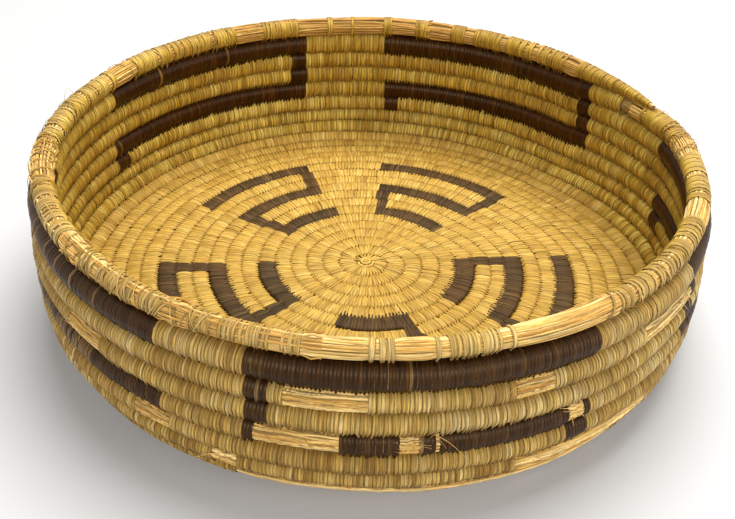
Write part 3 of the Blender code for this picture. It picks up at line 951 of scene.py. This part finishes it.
def make_straw(skins):
    """Bare stems: all round the rim, loose ones over them, and in the patches below."""
    skin = skins["grass_stem"]
    start, end = RIM_STEM_TURN_SHARES
    made = stems("rim_stems", RIM_ROUND, start, end, RIM_STEMS, RIM_STEM_RADIUS, RIM_STEM_STEP, skin)
    for index, (start, end) in enumerate(LOOSE_STEM_TURN_SHARES, 1):
        name, sizes = f"loose_rim_stems_{index}", (LOOSE_STEMS, RIM_STEM_RADIUS, LOOSE_STEM_STEP)
        made = stems(name, RIM_ROUND, start, end, *sizes, skin, loose=LOOSE_STEM_LIFT)
    for index, (number, start, end) in enumerate(BARE_PATCH_TURN_SHARES, 1):
        start, end = start - BARE_STEM_REACH_TURN_SHARE, end + BARE_STEM_REACH_TURN_SHARE
        name, sizes = f"bare_stems_{index}", (BARE_STEMS, STEM_RADIUS, BARE_STEM_STEP)
        made = stems(name, number, start, end, *sizes, skin, crossing=BARE_STEM_CROSSING_ANGLE)


def make_lashings(skins):
    """Loose strips wound slantwise over the rim."""
    for index, (number, start, end, count) in enumerate(LASHING_TURN_SHARES, 1):
        turns = rng.uniform(turn_of(number, end), turn_of(number, start), count)
        widths = rng.uniform(*LASHING_WIDTHS, count)
        leans = rng.choice([-1, 1], count) * rng.uniform(*LASHING_LEANS, count)
        lifts = rng.uniform(*LASHING_LIFTS, count)
        tones = rng.uniform(*LASHING_TONE_SHARES, count)
        values = (turns, turns, widths, leans, lifts, np.ones(count), tones)
        made = stitch_object(f"lashings_{index}", *values, skins["wall_splint"])


def make_fibres(skins):
    """Frayed fibres that stand off the lashed and the bare stretches."""
    stretches = np.array([lashing[:3] for lashing in LASHING_TURN_SHARES] + list(BARE_PATCH_TURN_SHARES))
    picked = stretches[rng.integers(0, len(stretches), FIBRES)]
    turns = turn_of(picked[:, 0], rng.uniform(picked[:, 1], picked[:, 2]))
    centre, outward, inward, tangent = stations(turns)
    x, n = squared(rng.uniform(*FIBRE_ANGLES, FIBRES), turns)
    half = half_size(turns)
    off = outward * x[:, None] + inward * n[:, None]
    off = off / np.linalg.norm(off, axis=1, keepdims=True)
    way = tangent * rng.choice([-1, 1], FIBRES)[:, None]
    way = way + off * rng.uniform(*FIBRE_STAND_SHARES, FIBRES)[:, None]
    way = way + FIBRE_CHANCE_SHARE * rng.standard_normal((FIBRES, 3))
    curl = FIBRE_CURL_SHARE * rng.standard_normal((FIBRES, 3)) - FIBRE_DROOP_SHARE * off
    length = rng.uniform(*FIBRE_LENGTHS, FIBRES)
    share = np.linspace(0, 1, FIBRE_POINTS)
    root = centre + outward * (x * half)[:, None] + inward * (n * half)[:, None] - off * FIBRE_ROOT_DEPTH
    run = way[:, None] * share[None, :, None] + curl[:, None] * (share**2)[None, :, None]
    centres = root[:, None] + run * length[:, None, None] * FIBRE_REACH_SHARE
    radii = rng.uniform(*FIBRE_RADII, (FIBRES, 1)) * (1 - FIBRE_TAPER_SHARE * share[None])
    made = tubes("frayed_fibres", centres, radii, skins["grass_stem"], sides=FIBRE_SIDES)


def make_knot(skins):
    """The tight whorl that the coil starts from."""
    angle = np.linspace(0, 2 * math.pi * WHORL_TURNS, WHORL_POINTS)
    reach = WHORL_START_RADIUS + WHORL_REACH * angle / angle[-1]
    top = FLOOR_LIFT + CENTRE_HEIGHT + half_size(np.array([WHORL_LEVEL_TURN]))[0]
    height = top + WHORL_RISE - WHORL_FALL * (angle / angle[-1]) ** 2
    centres = np.stack([np.cos(-angle) * reach, np.sin(-angle) * reach, height], -1)[None]
    radii = WHORL_STEM_RADIUS + WHORL_STEM_SWELL * np.sin(WHORL_SWELLS * angle)[None]
    made = tubes("start_knot_whorl", centres, radii, skins["floor_splint"], sides=WHORL_SIDES)
    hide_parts("start_knot")


def ramp(tree, source, stops):
    made = tree.nodes.new("ShaderNodeValToRGB")
    elements = made.color_ramp.elements
    while len(elements) < len(stops):
        elements.new(0.5)
    for element, (place, colour) in zip(elements, stops):
        element.position = place
        element.color = (*colour, 1)
    tree.links.new(source, made.inputs["Fac"])
    return made.outputs["Color"]


def grey(value):
    return (value, value, value)


def mix(tree, kind, share, first, second):
    """Two colours mixed by a share, each a socket or a plain value."""
    made = tree.nodes.new("ShaderNodeMix")
    made.data_type = "RGBA"
    made.blend_type = kind
    for socket, value in (("Factor", share), ("A", first), ("B", second)):
        target = next(i for i in made.inputs if i.name == socket and i.enabled)
        if isinstance(value, bpy.types.NodeSocket):
            tree.links.new(value, target)
        elif isinstance(value, tuple):
            target.default_value = (*value, 1)
        else:
            target.default_value = value
    return next(o for o in made.outputs if o.enabled)


def maths(tree, operation, *values):
    made = tree.nodes.new("ShaderNodeMath")
    made.operation = operation
    for index, value in enumerate(values):
        if isinstance(value, bpy.types.NodeSocket):
            tree.links.new(value, made.inputs[index])
        else:
            made.inputs[index].default_value = value
    return made.outputs["Value"]


def attribute(tree, name, output="Fac"):
    made = tree.nodes.new("ShaderNodeAttribute")
    made.attribute_name = name
    return made.outputs[output]


def noise(tree, vector, scale, detail):
    made = tree.nodes.new("ShaderNodeTexNoise")
    made.inputs["Scale"].default_value = scale
    made.inputs["Detail"].default_value = detail
    tree.links.new(vector, made.inputs["Vector"])
    return made.outputs["Fac"]


def fibre_noise(tree, stretch):
    """Noise drawn out along each strip."""
    mapping = tree.nodes.new("ShaderNodeMapping")
    mapping.inputs["Scale"].default_value = stretch
    tree.links.new(attribute(tree, "strip", "Vector"), mapping.inputs["Vector"])
    return noise(tree, mapping.outputs["Vector"], 1.0, 2.0)


def skin_colour(tree, look, fibres):
    """A tone for each stitch, stained patches, dark fibres, painted shade at the edges and ends, and a
    painted warmer, darker bounce tint inside.
    """
    tone = ramp(tree, attribute(tree, "stitch"), look["stops"])
    place = tree.nodes.new("ShaderNodeTexCoord").outputs["Object"]
    darkening_shares = ramp(tree, noise(tree, place, STAIN_SCALE, 3.0), ((0.42, grey(0)), (0.68, grey(1))))
    colour = mix(tree, "MIX", maths(tree, "MULTIPLY", darkening_shares, look["stain_share"]), tone, look["stain"])
    dark = look["fibre_share"]
    lines = ramp(tree, fibres, ((0.36, grey(dark)), (0.56, grey(1)), (0.72, (1.25, 1.22, 1.18))))
    colour = mix(tree, "MULTIPLY", 0.9, colour, lines)
    fine = fibre_noise(tree, FINE_FIBRE_STRETCH)
    lines = ramp(tree, fine, ((0.36, grey(dark * 0.9)), (0.60, grey(1.08))))
    colour = mix(tree, "MULTIPLY", 0.7, colour, lines)
    # Painted shade in the gaps between stitches: each ribbon darkens towards its side edges
    painted_edge_shade = maths(tree, "MULTIPLY", maths(tree, "POWER", attribute(tree, "edge"), 3.0), look["painted_edge_shade_share"])
    colour = mix(tree, "MIX", painted_edge_shade, colour, look["edge"])
    # Painted shade in the crevices: towards the dives and covered shoulders the ribbon takes the dark edge
    # colour
    ends = maths(tree, "MULTIPLY", attribute(tree, "tip"), 0.75)
    colour = mix(tree, "MIX", ends, colour, look["edge"])
    # Painted bounce light and shade: what faces the inside of the bowl takes a warmer, darker tint
    return mix(tree, "MULTIPLY", attribute(tree, "inside"), colour, look["painted_bounce_tint"])


def make_skin(name, look):
    """A split leaf or a stem, rougher and higher along its fibres."""
    skin = bpy.data.materials.new(name)
    skin.use_nodes = True
    tree = skin.node_tree
    shader = tree.nodes["Principled BSDF"]
    fibres = fibre_noise(tree, FIBRE_STRETCH)
    tree.links.new(skin_colour(tree, look, fibres), shader.inputs["Base Color"])
    smoothest = look["roughness"] - FIBRE_GLOSS_SHARE
    rough = maths(tree, "MULTIPLY_ADD", fibres, FIBRE_ROUGHNESS_SHARE, smoothest)
    tree.links.new(rough, shader.inputs["Roughness"])
    shader.inputs["Specular IOR Level"].default_value = look["specular"]
    shader.inputs["Specular Tint"].default_value = (*SPECULAR_TINT, 1)
    bump = tree.nodes.new("ShaderNodeBump")
    bump.inputs["Strength"].default_value = 0.5
    bump.inputs["Distance"].default_value = FIBRE_DEPTH
    tree.links.new(fibres, bump.inputs["Height"])
    tree.links.new(bump.outputs["Normal"], shader.inputs["Normal"])
    return skin


def aim_camera():
    """The camera in the place that the photograph was taken from."""
    away = np.array([0, -math.cos(CAMERA_ELEVATION), -math.sin(CAMERA_ELEVATION)])
    right = np.array([1.0, 0, 0])
    back = np.cross(away, right)
    c, s = math.cos(CAMERA_ROLL), math.sin(CAMERA_ROLL)
    rolled = np.array([[c, -s, 0], [s, c, 0], [0, 0, 1]])
    axes = np.stack([rolled @ right, rolled @ back, rolled @ away], 1)
    flip = np.diag([1.0, -1.0, -1.0])
    world = (flip @ axes).T
    off_middle = np.array(AIM_PIXEL) - np.array([IMAGE_WIDTH, IMAGE_HEIGHT]) / 2
    ray = np.array([*(off_middle / FOCAL_PIXELS), 1])
    seen = flip @ (ray / np.linalg.norm(ray) * CAMERA_DISTANCE)
    data = bpy.data.cameras.new("camera")
    data.sensor_width = SENSOR_WIDTH_MM
    data.lens = SENSOR_WIDTH_MM * FOCAL_PIXELS / IMAGE_WIDTH
    camera = bpy.data.objects.new("camera", data)
    place = AIM_POINT - Vector(world @ seen)
    camera.matrix_world = Matrix.Translation(place) @ Matrix(world.tolist()).to_4x4()
    bpy.context.scene.collection.objects.link(camera)
    bpy.context.scene.camera = camera


def seen_directly(tree):
    """1 where the camera looks straight at it, or through a reflection or glass."""
    path = tree.nodes.new("ShaderNodeLightPath")
    seen = maths(tree, "MAXIMUM", path.outputs["Is Camera Ray"], path.outputs["Is Glossy Ray"])
    return maths(tree, "MAXIMUM", seen, path.outputs["Is Transmission Ray"])


def make_floor():
    """A plain pale floor that keeps its shadow and fades to white further off."""
    bpy.ops.mesh.primitive_plane_add(size=STAGE_SIZE, location=(0, 0, 0))
    floor = bpy.context.object
    floor.name = "studio_floor"
    skin = bpy.data.materials.new("studio_floor")
    skin.use_nodes = True
    tree = skin.node_tree
    shader = tree.nodes["Principled BSDF"]
    shader.inputs["Base Color"].default_value = (*grey(STAGE_GREY), 1)
    shader.inputs["Roughness"].default_value = 0.9
    shader.inputs["Specular IOR Level"].default_value = 0.0
    reach = tree.nodes.new("ShaderNodeVectorMath")
    reach.operation = "LENGTH"
    tree.links.new(tree.nodes.new("ShaderNodeTexCoord").outputs["Object"], reach.inputs[0])
    far = tree.nodes.new("ShaderNodeMapRange")
    far.inputs["From Min"].default_value = WHITE_FROM
    far.inputs["From Max"].default_value = WHITE_AT
    tree.links.new(reach.outputs["Value"], far.inputs["Value"])
    glow = tree.nodes.new("ShaderNodeEmission")
    glow.inputs["Color"].default_value = (1, 1, 1, 1)
    blend = tree.nodes.new("ShaderNodeMixShader")
    tree.links.new(maths(tree, "MULTIPLY", far.outputs["Result"], seen_directly(tree)), blend.inputs["Fac"])
    tree.links.new(shader.outputs["BSDF"], blend.inputs[1])
    tree.links.new(glow.outputs["Emission"], blend.inputs[2])
    tree.links.new(blend.outputs["Shader"], tree.nodes["Material Output"].inputs["Surface"])
    floor.data.materials.append(skin)


def make_surround():
    """A white surround that gives little light of its own."""
    world = bpy.data.worlds.new("studio")
    bpy.context.scene.world = world
    world.use_nodes = True
    tree = world.node_tree
    background = tree.nodes["Background"]
    background.inputs["Color"].default_value = (1, 1, 1, 1)
    strength = mix(tree, "MIX", seen_directly(tree), grey(SURROUND_STRENGTH), grey(1))
    tree.links.new(strength, background.inputs["Strength"])


def make_lamps():
    for name, place, target, size, power, colour in LAMPS:
        data = bpy.data.lights.new(name, "AREA")
        data.shape = "DISK"
        data.size = size
        data.energy = power
        data.color = colour
        lamp = bpy.data.objects.new(name, data)
        lamp.location = place
        lamp.rotation_euler = (Vector(target) - Vector(place)).to_track_quat("-Z", "Y").to_euler()
        bpy.context.scene.collection.objects.link(lamp)


def main():
    aim_camera()
    make_floor()
    make_surround()
    make_lamps()
    skins = {name: make_skin(name, look) for name, look in SKINS.items()}
    make_coil(skins)
    make_stitches(skins)
    make_straw(skins)
    make_lashings(skins)
    make_fibres(skins)
    make_knot(skins)
    bpy.context.scene.view_settings.view_transform = "Standard"


main()
